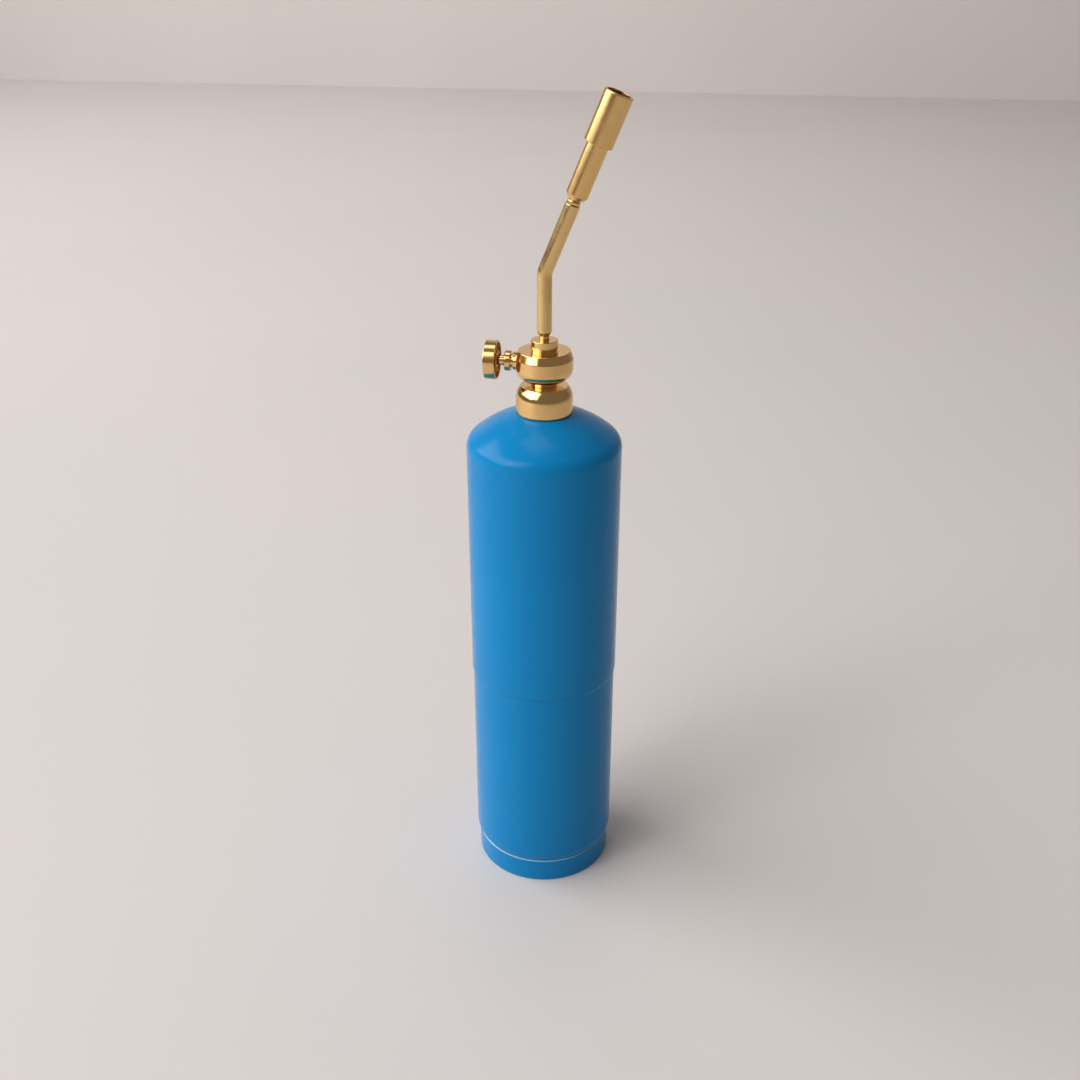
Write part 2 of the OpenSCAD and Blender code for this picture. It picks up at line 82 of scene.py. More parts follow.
def burner_span(node):
    """Start and end of a node along the leaning tube, and its radius, in millimetres."""
    low, high = box_mm(node)
    r = high.y
    base = BEND.z / MM
    return ((low.z - base + r * math.sin(LEAN)) / math.cos(LEAN),
            (high.z - base - r * math.sin(LEAN)) / math.cos(LEAN), r)


# ---------------------------------------------------------------- meshes

ON_AXIS = 1e-6                             # a profile point nearer the axis than this lies on it
SMOOTH_TURN = math.radians(32)             # edges that turn less than this are shaded as one
ACROSS = Vector((0, 1, 0))


def arc(centre, radius, start, end, steps):
    """Points on an arc of a profile, from angle start to angle end, in degrees."""
    angles = [math.radians(start + (end - start) * i / steps) for i in range(steps + 1)]
    return [(centre[0] + radius * math.cos(a), centre[1] + radius * math.sin(a)) for a in angles]


def eased(points, steps=5):
    """A closed profile with its corners turned to arcs, of points (r, z) or (r, z, edge radius)."""
    out = []
    count = len(points)
    for i, p in enumerate(points):
        here = Vector(p[:2])
        edge = p[2] if len(p) > 2 else 0
        if edge <= 0:
            out.append(tuple(here))
            continue
        back = Vector(points[i - 1][:2]) - here
        ahead = Vector(points[(i + 1) % count][:2]) - here
        half = back.angle(ahead) / 2
        reach = min(edge / math.tan(half), 0.48 * back.length, 0.48 * ahead.length)
        edge = reach * math.tan(half)
        inward = (back.normalized() + ahead.normalized()).normalized()
        middle = here + inward * (edge / math.sin(half))
        first = here + back.normalized() * reach - middle
        last = here + ahead.normalized() * reach - middle
        turn = first.angle_signed(last)
        for k in range(steps + 1):
            a = -turn * k / steps
            out.append((middle.x + first.x * math.cos(a) - first.y * math.sin(a),
                        middle.y + first.x * math.sin(a) + first.y * math.cos(a)))
    return out


def profile_normals(loop):
    """For each edge of a closed profile, the outward normals at its two ends, smooth over small
    turns, and the side that faces out."""
    count = len(loop)
    area = sum(loop[i][0] * loop[(i + 1) % count][1] - loop[(i + 1) % count][0] * loop[i][1]
               for i in range(count))
    side = 1 if area > 0 else -1
    edges = [Vector(loop[(i + 1) % count]) - Vector(loop[i]) for i in range(count)]
    flat = [Vector((e.y, -e.x)) * side for e in edges]
    ends = []
    for i in range(count):
        pair = []
        for other in (i - 1, (i + 1) % count):
            smooth = flat[i].angle(flat[other], math.pi) < SMOOTH_TURN
            pair.append((flat[i] + flat[other] if smooth else flat[i]).normalized())
        ends.append(pair)
    return ends, side


def upright_ring(z):
    """Centre, outward side and heading of the ring at height z."""
    return Vector((0, 0, z)), Vector((1, 0, 0)), Vector((0, 0, 1))


def ring_vertices(loop, frames, turns):
    """The vertices of every profile point's ring, in metres, and their numbers, ring by ring."""
    verts, rings = [], []
    for (r, _), (centre, out, _) in zip(loop, frames):
        if r < ON_AXIS:
            rings.append([len(verts)] * len(turns))
            verts.append(centre * MM)
        else:
            rings.append(list(range(len(verts), len(verts) + len(turns))))
            verts += [(centre + (out * c + ACROSS * s) * r) * MM for c, s in turns]
    return verts, rings


def ring_faces(loop, frames, turns, rings):
    """The faces between neighbouring rings, and the normal of each of their corners."""
    ends, side = profile_normals(loop)
    faces, normals = [], []
    for i in range(len(loop)):
        j = (i + 1) % len(loop)
        if loop[i][0] < ON_AXIS and loop[j][0] < ON_AXIS:
            continue
        for k in range(len(turns)):
            m = (k + 1) % len(turns)
            corners = [(i, k, 0), (i, m, 0), (j, m, 1), (j, k, 1)]
            if side < 0:
                corners.reverse()
            face = []
            for ring, turn, end in corners:
                if rings[ring][turn] in face:
                    continue
                face.append(rings[ring][turn])
                c, s = turns[turn]
                _, out, along = frames[ring]
                n = ends[i][end]
                normals.append((out * c + ACROSS * s) * n.x + along * n.y)
            faces.append(face)
    return faces, normals


def swept(name, loop, place=UPRIGHT, segments=128, path=upright_ring):
    """A solid of revolution of a closed (r, z) profile, in millimetres, about local Z or a path."""
    turns = [(math.cos(2 * math.pi * k / segments), math.sin(2 * math.pi * k / segments))
             for k in range(segments)]
    frames = [path(z) for _, z in loop]
    verts, rings = ring_vertices(loop, frames, turns)
    faces, normals = ring_faces(loop, frames, turns, rings)
    return finished(name, verts, faces, place, normals)


def finished(name, verts, faces, place, normals=None):
    """A new smooth object from its vertices, in metres."""
    mesh = bpy.data.meshes.new(name)
    mesh.from_pydata(verts, [], faces)
    mesh.shade_smooth()
    if normals:
        mesh.normals_split_custom_set(normals)
    piece = bpy.data.objects.new(name, mesh)
    bpy.context.scene.collection.objects.link(piece)
    piece.matrix_world = place
    bpy.context.view_layer.update()
    return piece


def threaded(name, bore_r, bore_low, core, crest, root, pitch, low, high, segments=144):
    """A threaded spigot over a turned base: core is its profile from the bore's foot out and up to
    the thread."""
    rows_per_turn, lead_in = 12, 0.8 * pitch
    rows = int((high - low) / pitch * rows_per_turn)

    def thread_r(z, turn):
        phase = (z / pitch - turn) % 1
        flank = max(0.0, min(1.0, (1 - abs(2 * phase - 1)) * 1.5 - 0.25))
        fade = max(0.0, min(1.0, (z - low) / lead_in, (high - z) / lead_in))
        return root + (crest - root) * flank * fade

    rings = [[point] * segments for point in [(bore_r, bore_low)] + core]
    for row in range(rows + 1):
        z = low + (high - low) * row / rows
        rings.append([(thread_r(z, k / segments), z) for k in range(segments)])
    rings.append([(bore_r, high)] * segments)
    verts, faces = [], []
    for ring in rings:
        for k, (r, z) in enumerate(ring):
            a = 2 * math.pi * k / segments
            verts.append((r * math.cos(a) * MM, r * math.sin(a) * MM, z * MM))
    for i in range(len(rings)):
        j = (i + 1) % len(rings)
        for k in range(segments):
            m = (k + 1) % segments
            faces.append((i * segments + k, i * segments + m, j * segments + m, j * segments + k))
    piece = finished(name, verts, faces, UPRIGHT)
    piece.data.set_sharp_from_angle(angle=math.radians(38))
    return piece


# ---------------------------------------------------------------- materials

class Shader:
    """A material's node tree, with short calls for the nodes that the finishes share."""

    def __init__(self, name):
        self.material = bpy.data.materials.new(name)
        self.material.use_nodes = True
        self.tree = self.material.node_tree
        self.bsdf = self.tree.nodes["Principled BSDF"]

    def node(self, kind, inputs=(), **settings):
        node = self.tree.nodes.new(kind)
        for key, value in settings.items():
            setattr(node, key, value)
        for key, value in dict(inputs).items():
            self.feed(node.inputs[key], value)
        return node

    def feed(self, socket, value):
        if isinstance(value, bpy.types.NodeSocket):
            self.tree.links.new(value, socket)
        else:
            socket.default_value = value

    def math(self, operation, a, b):
        return self.node("ShaderNodeMath", {0: a, 1: b}, operation=operation).outputs[0]

    def spread(self, value, low, high, to_low, to_high):
        """A value carried from one range to another, held at its ends."""
        return self.node("ShaderNodeMapRange", {
            "Value": value, "From Min": low, "From Max": high,
            "To Min": to_low, "To Max": to_high}).outputs[0]

    def noise(self, vector, scale, detail=3.0, roughness=0.5):
        return self.node("ShaderNodeTexNoise", {"Vector": vector, "Scale": scale, "Detail": detail,
                                                "Roughness": roughness}).outputs["Fac"]

    def mix(self, factor, a, b):
        node = self.node("ShaderNodeMix", data_type="RGBA")
        self.feed(node.inputs[0], factor)
        self.feed(node.inputs[6], a)
        self.feed(node.inputs[7], b)
        return node.outputs[2]

    def bump(self, height, distance, strength, normal=None):
        node = self.node("ShaderNodeBump", {"Height": height, "Distance": distance,
                                            "Strength": strength})
        if normal:
            self.feed(node.inputs["Normal"], normal)
        return node.outputs["Normal"]

    def place(self):
        return self.node("ShaderNodeTexCoord").outputs["Object"]

    def lathe_place(self, scale):
        """Distance from the turning axis and height along it, scaled, with no angle in them."""
        split = self.node("ShaderNodeSeparateXYZ", {0: self.place()})
        flat = self.node("ShaderNodeCombineXYZ", {0: split.outputs[0], 1: split.outputs[1]})
        away = self.node("ShaderNodeVectorMath", {0: flat.outputs[0]},
                         operation="LENGTH").outputs["Value"]
        joined = self.node("ShaderNodeCombineXYZ", {0: away, 2: split.outputs[2]})
        return self.node("ShaderNodeVectorMath", {0: joined.outputs[0], 3: scale},
                         operation="SCALE").outputs[0]

    def finish(self, **inputs):
        for key, value in inputs.items():
            self.feed(self.bsdf.inputs[key.replace("_", " ")], value)
        return self.material


def rgb(r, g, b):
    return (r, g, b, 1.0)


def brass(name, colour, tarnish, roughness, turned=True):
    """Machined brass: fine turning rings, soft tarnish, small scratches and brighter worn edges."""
    s = Shader(name)
    place = s.place()
    clouds = s.noise(place, 95.0, 5.0, 0.6)
    spots = s.noise(place, 900.0, 4.0, 0.6)
    lines = (s.noise(s.lathe_place(9000.0), 1.0, 2.0, 0.65) if turned
             else s.noise(place, 2600.0, 3.0))
    streak = s.node("ShaderNodeMapping", {"Vector": place,
                                          "Scale": (420.0, 420.0, 60.0)}).outputs[0]
    drag = s.noise(streak, 1.0, 4.0, 0.65)
    aged = s.math("MULTIPLY", s.spread(clouds, 0.4, 0.72, 0.0, 0.45),
                  s.spread(spots, 0.3, 0.7, 0.7, 1.0))
    tone = s.mix(aged, rgb(*colour), rgb(*tarnish))
    pointed = s.node("ShaderNodeNewGeometry").outputs["Pointiness"]
    edge = s.spread(pointed, 0.52, 0.62, 0.0, 0.5)
    bright = tuple(min(1.0, c * 1.12) for c in colour)
    tone = s.mix(edge, tone, rgb(*bright))
    rough = s.math("ADD", s.spread(clouds, 0.3, 0.75, roughness - 0.03, roughness + 0.08),
                   s.spread(drag, 0.35, 0.75, -0.02, 0.05))
    normal = s.bump(lines, 0.000004, 0.4)
    normal = s.bump(spots, 0.000004, 0.15, normal)
    s.bsdf.inputs["Metallic"].default_value = 1.0
    return s.finish(Base_Color=tone, Roughness=rough, Normal=normal)


def enamel(name, colour, deep, highlight_from=None):
    """Satin enamel on drawn steel: slight orange peel, faint drawing marks and dust. If a height in
    millimetres is given, the colour above it turns pale blue-white, slightly mottled: a painted
    highlight."""
    s = Shader(name)
    place = s.place()
    broad = s.noise(place, 9.0, 3.0, 0.5)
    peel = s.noise(place, 520.0, 2.0, 0.5)
    ripple = s.node("ShaderNodeMapping", {"Vector": place, "Scale": (70.0, 70.0, 6.0)}).outputs[0]
    drawn = s.noise(ripple, 1.0, 3.0, 0.55)
    dust = s.noise(place, 2300.0, 4.0, 0.7)
    tone = s.mix(s.spread(broad, 0.35, 0.65, 0.0, 0.5), rgb(*colour), rgb(*deep))
    tone = s.mix(s.spread(dust, 0.68, 0.82, 0.0, 0.08), tone, rgb(*DUST))
    # painted highlight: above the given height the colour turns pale blue-white, standing in for
    # light on the foot ring's top face
    if highlight_from is not None:
        height = s.node("ShaderNodeSeparateXYZ", {0: place}).outputs[2]
        highlight_mask = s.spread(height, (highlight_from - 0.05) * MM, (highlight_from + 0.1) * MM, 0.0, 1.0)
        highlight_mask = s.math("MULTIPLY", highlight_mask, s.spread(dust, 0.25, 0.6, 0.75, 1.0))
        tone = s.mix(highlight_mask, tone, rgb(*PAINTED_HIGHLIGHT))
    rough = s.math("ADD", s.spread(broad, 0.3, 0.7, 0.15, 0.19),
                   s.spread(drawn, 0.3, 0.7, -0.01, 0.02))
    normal = s.bump(peel, 0.00002, 0.2)
    normal = s.bump(drawn, 0.00008, 0.1, normal)
    s.bsdf.inputs["IOR"].default_value = 1.22
    return s.finish(Base_Color=tone, Roughness=rough, Normal=normal)


def steel(name, colour, roughness, turned=True):
    """Zinc-plated or bare turned steel, with a faint bloom."""
    s = Shader(name)
    place = s.place()
    clouds = s.noise(place, 160.0, 4.0, 0.6)
    lines = (s.noise(s.lathe_place(7000.0), 1.0, 2.0, 0.6) if turned
             else s.noise(place, 2400.0, 3.0))
    bloom = rgb(*(c * 0.72 for c in colour))
    tone = s.mix(s.spread(clouds, 0.38, 0.7, 0.0, 0.6), rgb(*colour), bloom)
    rough = s.spread(clouds, 0.3, 0.7, roughness - 0.04, roughness + 0.1)
    s.bsdf.inputs["Metallic"].default_value = 1.0
    return s.finish(Base_Color=tone, Roughness=rough, Normal=s.bump(lines, 0.000015, 0.5))


def sintered(name, colour):
    """Bronze grains pressed and sintered together."""
    s = Shader(name)
    cells = s.node("ShaderNodeTexVoronoi", {"Vector": s.place(),
                                            "Scale": 3200.0}).outputs["Distance"]
    gaps = rgb(*(c * 0.3 for c in colour))
    tone = s.mix(s.spread(cells, 0.1, 0.6, 0.0, 1.0), rgb(*colour), gaps)
    s.bsdf.inputs["Metallic"].default_value = 1.0
    s.bsdf.inputs["Roughness"].default_value = 0.42
    return s.finish(Base_Color=tone, Normal=s.bump(cells, -0.0001, 0.7))


def rubber(name, colour, bloomed):
    """Black rubber with a fine grain and a slight grey bloom."""
    s = Shader(name)
    place = s.place()
    grain = s.noise(place, 1800.0, 4.0, 0.6)
    bloom = s.noise(place, 220.0, 3.0, 0.5)
    tone = s.mix(s.spread(bloom, 0.4, 0.7, 0.0, 0.8), rgb(*colour), rgb(*bloomed))
    return s.finish(Base_Color=tone, Roughness=s.spread(bloom, 0.3, 0.7, 0.5, 0.65),
                    Normal=s.bump(grain, 0.00003, 0.4))


def stage_surface(name, colour, shade, roughness, specular):
    """A plain studio surface with a very slight mottling."""
    s = Shader(name)
    place = s.place()
    soft = s.noise(place, 1.6, 2.0, 0.5)
    tone = s.mix(s.spread(soft, 0.35, 0.65, 0.0, 1.0), rgb(*colour), rgb(*shade))
    s.bsdf.inputs["Specular IOR Level"].default_value = specular
    rough = s.spread(soft, 0.3, 0.7, roughness, roughness + 0.04)
    return s.finish(Base_Color=tone, Roughness=rough)


BRASS = (0.80, 0.53, 0.22)
TARNISH = (0.60, 0.36, 0.13)
BLUE = (0.005, 0.225, 0.53), (0.004, 0.195, 0.47)      # enamel, and its deeper clouds
# pale blue-white painted highlight for the foot ring's top face
PAINTED_HIGHLIGHT = (0.62, 0.90, 1.0)
DUST = (0.30, 0.50, 0.66)
FINISH = {
    "cylinder_paint": enamel("satin_blue_enamel", *BLUE),
    "boss_steel": steel("zinc_plated_steel", (0.62, 0.62, 0.60), 0.3),
    "spring_steel": steel("spring_wire", (0.52, 0.53, 0.54), 0.28, turned=False),
    "turned_brass": brass("turned_brass", BRASS, TARNISH, 0.11),
    "knob_brass": brass("knob_brass", BRASS, TARNISH, 0.14),
    "tube_brass": brass("drawn_brass", (0.76, 0.53, 0.23), (0.62, 0.40, 0.16), 0.19,
                        turned=False),
    "burner_brass": brass("burner_brass", (0.78, 0.51, 0.21), (0.62, 0.37, 0.14), 0.18),
    "valve_brass": brass("valve_brass", (0.70, 0.47, 0.20), (0.46, 0.28, 0.11), 0.28),
    "sintered_bronze": sintered("sintered_bronze", (0.42, 0.25, 0.11)),
    "seal_rubber": rubber("black_rubber", (0.012, 0.012, 0.013), (0.03, 0.03, 0.032)),
    "screw_steel": steel("screw_steel", (0.66, 0.63, 0.56), 0.25),
}


# ---------------------------------------------------------------- pieces

def settle(piece, body, slot, *nodes):
    """Gives a piece its finish, and lets it ride on a body in place of CAD nodes."""
    piece.data.materials.append(FINISH[slot])
    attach(piece, body)
    if nodes:
        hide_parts(*nodes)
    return piece


def dome_curve(r, knuckle, crown, end_r):
    """Outside of a torispherical end above z = 0, from its straight wall in to radius end_r."""
    steps = 28
    drop = math.sqrt((crown - knuckle) ** 2 - (r - knuckle) ** 2)
    slope = math.degrees(math.atan2(drop, r - knuckle))
    top = math.degrees(math.acos(end_r / crown))
    return (arc((r - knuckle, 0), knuckle, 0, slope, steps)
            + arc((0, -drop), crown, slope, top, steps)[1:])


SHELL_T = 0.9                              # sheet of the cylinder
KNUCKLE = 7.7                              # radius between the wall and either end
CROWN = 52.5                               # radius of the dome
FOOT_CROWN = 80.0                          # radius of the bottom end
WALL_TOP = 234.7                           # height where the wall turns into the dome
WALL_FOOT = 17.9                           # height where the wall turns into the bottom end
BOSS_R = 6.9                               # neck boss below its thread
BODY_LOW = BASE + 15.1                     # underside of the valve body
SHANK_R = 4.5                              # inlet spigot where it enters the valve body
OUTLET_R = 4.2                             # outlet nut where it enters the valve body
COLLAR_LENGTH = 2.0                        # head of the jet collar, from the feed tube's end
BURNER_LENGTH = 48.9                       # from the feed tube's end to the flame tube's mouth
MIXING_REAR = 2.8                          # rear of the mixing tube, from the feed tube's end


def shifted(points, z, sign=1):
    """A profile moved to height z, upright or, with sign -1, turned over."""
    return [(r, z + sign * y) for r, y in points]


def make_upper_shell():
    low, high = box_mm("upper_shell")
    r = high.x
    outside = shifted(dome_curve(r, KNUCKLE, CROWN, BOSS_R), WALL_TOP)
    inner_r = r - SHELL_T
    inside = shifted(dome_curve(inner_r, KNUCKLE - SHELL_T, CROWN - SHELL_T, BOSS_R), WALL_TOP)
    lip_top = low.z + 20
    lip = eased([(inner_r, lip_top), (inner_r, low.z, 0.15), (r, low.z, 0.4), (r, lip_top)])[1:-1]
    settle(swept("upper_shell_drawn", lip + outside + inside[::-1], segments=256),
           "cylinder", "cylinder_paint", "upper_shell")


def make_lower_shell():
    _, high = box_mm("lower_shell")
    r = high.x
    lap, upper = box_mm("upper_shell")
    clearance = 0.02
    upper_r = upper.x - SHELL_T - clearance
    lap_z = lap.z
    outside = shifted(dome_curve(r, KNUCKLE, FOOT_CROWN, 0), WALL_FOOT, -1)
    inside = shifted(dome_curve(r - SHELL_T, KNUCKLE - SHELL_T, FOOT_CROWN - SHELL_T, 0),
                     WALL_FOOT, -1)
    neck = [(r, lap_z - 1), (upper_r, lap_z), (upper_r, high.z), (upper_r - SHELL_T, high.z),
            (upper_r - SHELL_T, lap_z), (r - SHELL_T, lap_z - 1)]
    settle(swept("lower_shell_drawn", outside[::-1] + neck + inside, segments=256),
           "cylinder", "cylinder_paint", "lower_shell")


def make_foot_ring():
    _, high = box_mm("foot_ring")
    wall, rest, edge, highlight_band = 0.8, 6.0, 0.28, 0.12
    r = high.x
    loop = eased([(r, high.z, edge), (r - wall, high.z, 0.2), (r - wall, wall, 0.5),
                  (r - rest, wall, 0.3), (r - rest, 0, 0.3), (r, 0, 0.9)])
    ring = settle(swept("foot_ring_rolled", loop, segments=256),
                  "cylinder", "cylinder_paint", "foot_ring")
    # the ring's top face gets a painted highlight, pale blue-white, through the enamel's height
    # mask
    ring.data.materials[0] = enamel("blue_enamel_painted_highlight", *BLUE, highlight_from=high.z - highlight_band)


def make_girth_braze():
    low, high = box_mm("girth_braze")
    r, sunk = box_mm("lower_shell")[1].x, 0.3
    loop = [(r - sunk, low.z), (r, low.z + 0.05), (r + 0.1, low.z + 0.55),
            (high.x, high.z - 0.02), (r - sunk, high.z)]
    settle(swept("girth_braze_fillet", loop, segments=256),
           "cylinder", "cylinder_paint", "girth_braze")


def make_neck_boss():
    crest, root, pitch, bore = 5.56, 5.02, 0.907, 3.9
    flange, flange_low, flange_top = 9.0, BASE - 3.6, BASE - 1.75
    low, high = LOW_BOSS.z, HIGH_BOSS.z
    shoulder, edge = BASE + 0.5, 0.15
    core = [(BOSS_R, low), (BOSS_R, flange_low), (flange, flange_low), (flange, flange_top),
            (BOSS_R, flange_top), (BOSS_R, shoulder - edge), (BOSS_R - edge, shoulder),
            (root, shoulder)]
    boss = threaded("neck_boss_threaded", bore, low, core, crest, root, pitch,
                    shoulder + 0.02, high)
    settle(boss, "cylinder", "boss_steel", "neck_boss")


def make_neck_weld():
    _, high = box_mm("neck_weld")
    r, sunk = high.x, 0.3
    toe = BASE - CROWN + math.sqrt(CROWN ** 2 - r ** 2)      # the dome under the bead's edge
    crown = [(r, toe), (r - 0.35, toe + 0.24), (r - 0.8, BASE - 0.05),
             (BOSS_R + 0.2, BASE + 0.32), (BOSS_R, high.z)]
    loop = crown + [(BOSS_R - 0.1, high.z), (BOSS_R - 0.1, toe - sunk), (r - sunk, toe - sunk)]
    settle(swept("neck_weld_bead", loop, segments=192), "cylinder", "boss_steel", "neck_weld")


def make_relief_valve():
    low, high = box_mm("relief_body")
    centre = (low + high) / 2
    r = (high.x - low.x) / 2
    place = Matrix.Translation((centre.x * MM, centre.y * MM, 0))
    stem_r, wall, cap, floor = 1.0, 0.9, 0.8, 1
    loop = eased([(r, low.z), (r, high.z, 0.35), (stem_r, high.z, 0.1), (stem_r, high.z - cap),
                  (r - wall, high.z - cap), (r - wall, low.z + floor), (stem_r, low.z + floor),
                  (stem_r, low.z)])
    settle(swept("relief_body_turned", loop, place, 96), "cylinder", "valve_brass", "relief_body")


def make_coupling_nut():
    low, high = box_mm("coupling_nut")
    r, thread_r, collar_r = high.x, 5.62, 5.86
    flat_r, cone_r, wall_low, wall_top = 10.9, 12.85, BASE - 0.35, BASE + 5.8
    mouth_r, mouth_top, thread_top = 11.9, low.z + 2.1, BASE + 7.8
    edge, lead_in, lip = 0.25, 0.4, 0.2

    def side(end_r, end_z, wall_z):
        """Arc that leaves the wall upright and reaches (end_r, end_z)."""
        inset, rise = r - end_r, abs(end_z - wall_z)
        radius = (inset ** 2 + rise ** 2) / (2 * inset)
        turn = math.degrees(math.asin(rise / radius))
        return arc((r - radius, wall_z), radius, 0, math.copysign(turn, end_z - wall_z), 14)

    loop = (side(flat_r, high.z, wall_top)
            + [(collar_r + edge, high.z), (collar_r, high.z - edge), (collar_r, thread_top),
               (thread_r, thread_top), (thread_r, mouth_top + lead_in),
               (thread_r + lead_in, mouth_top), (mouth_r, mouth_top), (mouth_r, low.z + lip),
               (mouth_r + lip, low.z)]
            + side(cone_r, low.z, wall_low)[::-1])
    settle(swept("coupling_nut_turned", loop, segments=192), "nut", "turned_brass", "coupling_nut")


def make_inlet_spigot():
    low, high = box_mm("inlet_spigot")
    r, bore, mouth_r, mouth_top = high.x, 2, 2.6, low.z + 2.1
    loop = eased([(r, low.z, 0.3), (r, BODY_LOW), (SHANK_R, BODY_LOW), (SHANK_R, high.z),
                  (bore, high.z), (bore, mouth_top), (mouth_r, mouth_top), (mouth_r, low.z, 0.2)])
    settle(swept("inlet_spigot_turned", loop), "head", "turned_brass", "inlet_spigot")


def make_valve_body():
    _, high = box_mm("valve_body")
    r, low_r, turn_z, flat_r, wall_top = high.y, 10.0, BASE + 20.7, 12.0, BASE + 24.9
    inset, fall = r - low_r, turn_z - BODY_LOW
    arc_r = (inset ** 2 + fall ** 2) / (2 * inset)
    arc_turn = math.degrees(math.asin(fall / arc_r))
    outer = arc((r - arc_r, turn_z), arc_r, -arc_turn, 0, 20)
    seat, spigot_top, jet_r = BASE + 24.2, BASE + 19.2, 1.3
    rest = eased([(r, turn_z), (r, wall_top, 1.6), (flat_r, high.z, 0.45), (OUTLET_R, high.z),
                  (OUTLET_R, seat), (jet_r, seat), (jet_r, spigot_top), (SHANK_R, spigot_top),
                  (SHANK_R, BODY_LOW), (low_r - 0.3, BODY_LOW)])
    body = swept("valve_body_turned", outer + rest[1:], segments=192)
    settle(body, "head", "turned_brass", "valve_body")
    make_stem_boss(r)


def make_stem_boss(body_r):
    """The boss that carries the gland nut, rounded into the valve body's wall."""
    start, end, boss_r, bore = 9.0, 14.2, 4.1, 3.1
    loop = eased([(boss_r + 0.5, start), (boss_r, body_r + 0.45, 0.8), (boss_r, end, 0.3),
                  (bore, end, 0.2), (bore, start)])
    settle(swept("stem_boss_turned", loop, ALONG_STEM, 96), "head", "turned_brass")


def make_gland_nut():
    start, end, r = stem_span("gland_nut")
    bore, shank, head_from = 2.45, 3.1, 15.3
    loop = eased([(bore, start), (shank, start), (shank, head_from), (r, head_from, 0.4),
                  (r, end, 0.5), (bore, end, 0.2)])
    settle(swept("gland_nut_turned", loop, ALONG_STEM, 96), "head", "turned_brass", "gland_nut")


def make_needle_stem():
    start, end, r = stem_span("needle_stem")
    hub = stem_span("control_knob")[0] + 0.1
    tip_r, needle_r, needle_from, needle_to, tail_r = 0.2, 1.45, 3.84, 9.9, 1.5
    groove, half, depth = 12.6, 0.45, 0.7
    loop = eased([(0, start), (tip_r, start), (needle_r, needle_from), (needle_r, needle_to),
                  (r, needle_to, 0.15), (r, groove - half), (r - depth, groove - half),
                  (r - depth, groove + half), (r, groove + half), (r, hub), (tail_r, hub),
                  (tail_r, end), (0, end)])
    settle(swept("needle_stem_turned", loop, ALONG_STEM, 96), "knob", "turned_brass", "needle_stem")


def make_control_knob():
    start, end, r = stem_span("control_knob")
    rim, web, hub, bore, recess_r = 0.9, 3.2, 3.1, 1.6, 3.2
    web_from, recess = end - web, end - 0.5
    hub_from = start + 0.1
    loop = eased([(bore, hub_from, 0.1), (hub, hub_from, 0.3), (hub, web_from, 0.5),
                  (r - rim, web_from, 0.5), (r - rim, start, 0.15), (r, start, 0.22), (r, end, 0.3),
                  (recess_r, end, 0.2), (recess_r, recess), (bore, recess)], 6)
    settle(swept("control_knob_turned", loop, ALONG_STEM, 192),
           "knob", "knob_brass", "control_knob")


def make_outlet_nut():
    low, high = box_mm("outlet_nut")
    r, waist, bore = high.x, high.x - 0.3, 2.2
    body_top, cap_low = BASE + 28, BASE + 29.8
    loop = eased([(bore, low.z), (OUTLET_R, low.z), (OUTLET_R, body_top), (waist, body_top),
                  (waist, cap_low, 0.15), (r, cap_low, 0.15), (r, high.z, 0.3),
                  (bore + 0.1, high.z, 0.15)])
    settle(swept("outlet_nut_turned", loop), "head", "turned_brass", "outlet_nut")


def tube_path(bend_r):
    """The feed tube's path, where its bend begins, the bend's length and its legs' length. The
    path gives centre, outward side and heading at a distance that counts as height below the
    bend."""
    leg = bend_r * math.tan(LEAN / 2)
    base = BEND.z / MM
    swing = bend_r * LEAN

    def at(z):
        past = z - (base - leg)
        if past <= 0:
            return Vector((0, 0, z)), Vector((1, 0, 0)), Vector((0, 0, 1))
        turned = min(past, swing) / bend_r
        centre = Vector((bend_r * (1 - math.cos(turned)), 0,
                         base - leg + bend_r * math.sin(turned)))
        heading = Vector((math.sin(turned), 0, math.cos(turned)))
        out = Vector((math.cos(turned), 0, -math.sin(turned)))
        return centre + heading * max(0.0, past - swing), out, heading

    return at, base - leg, swing, leg


def make_feed_tube():
    low, high = box_mm("feed_tube")
    r, stub, bore, flange_r, flange_top = high.y - 0.02, 2.15, 1.4, 3.4, low.z + 0.6
    bend_r, bend_steps = 9.0, 16
    path, bend_from, swing, leg = tube_path(bend_r)
    end = bend_from + swing + (tube_end_along() - leg)
    stub_top = BASE + 35
    bend = [(r, bend_from + swing * i / bend_steps) for i in range(bend_steps + 1)]
    foot = [(flange_r, low.z), (flange_r, flange_top), (stub, flange_top), (stub, stub_top),
            (stub + 0.03, stub_top + 0.25), (r - 0.04, stub_top + 1.9), (r, stub_top + 2.2),
            (r, stub_top + 2.6)]
    tip = [(r, end - 0.35), (r - 0.08, end - 0.1), (r - 0.25, end)]
    inner = [(bore, end)] + [(bore, z) for _, z in bend[::-1]] + [(bore, low.z)]
    tube = swept("feed_tube_drawn", foot + bend + tip + inner, segments=96, path=path)
    settle(tube, "head", "tube_brass", "feed_tube")


def tube_end_along():
    """End of the feed tube along its leaning line: where the collar's head begins."""
    return burner_span("flame_tube")[1] - BURNER_LENGTH


def make_jet_collar():
    tube_end = tube_end_along()
    end, step = tube_end + COLLAR_LENGTH, tube_end + 0.6
    tail, tail_r, bore, jet_r, r = tube_end - 3, 1.4, 0.7, 1.2, 3.0
    loop = eased([(bore, tail), (tail_r, tail), (tail_r, tube_end), (r, tube_end, 0.7),
                  (r, end, 0.7), (jet_r, end), (jet_r, step), (bore, step)], 6)
    settle(swept("jet_collar_turned", loop, ALONG_BURNER, 96), "head", "tube_brass", "jet_collar")


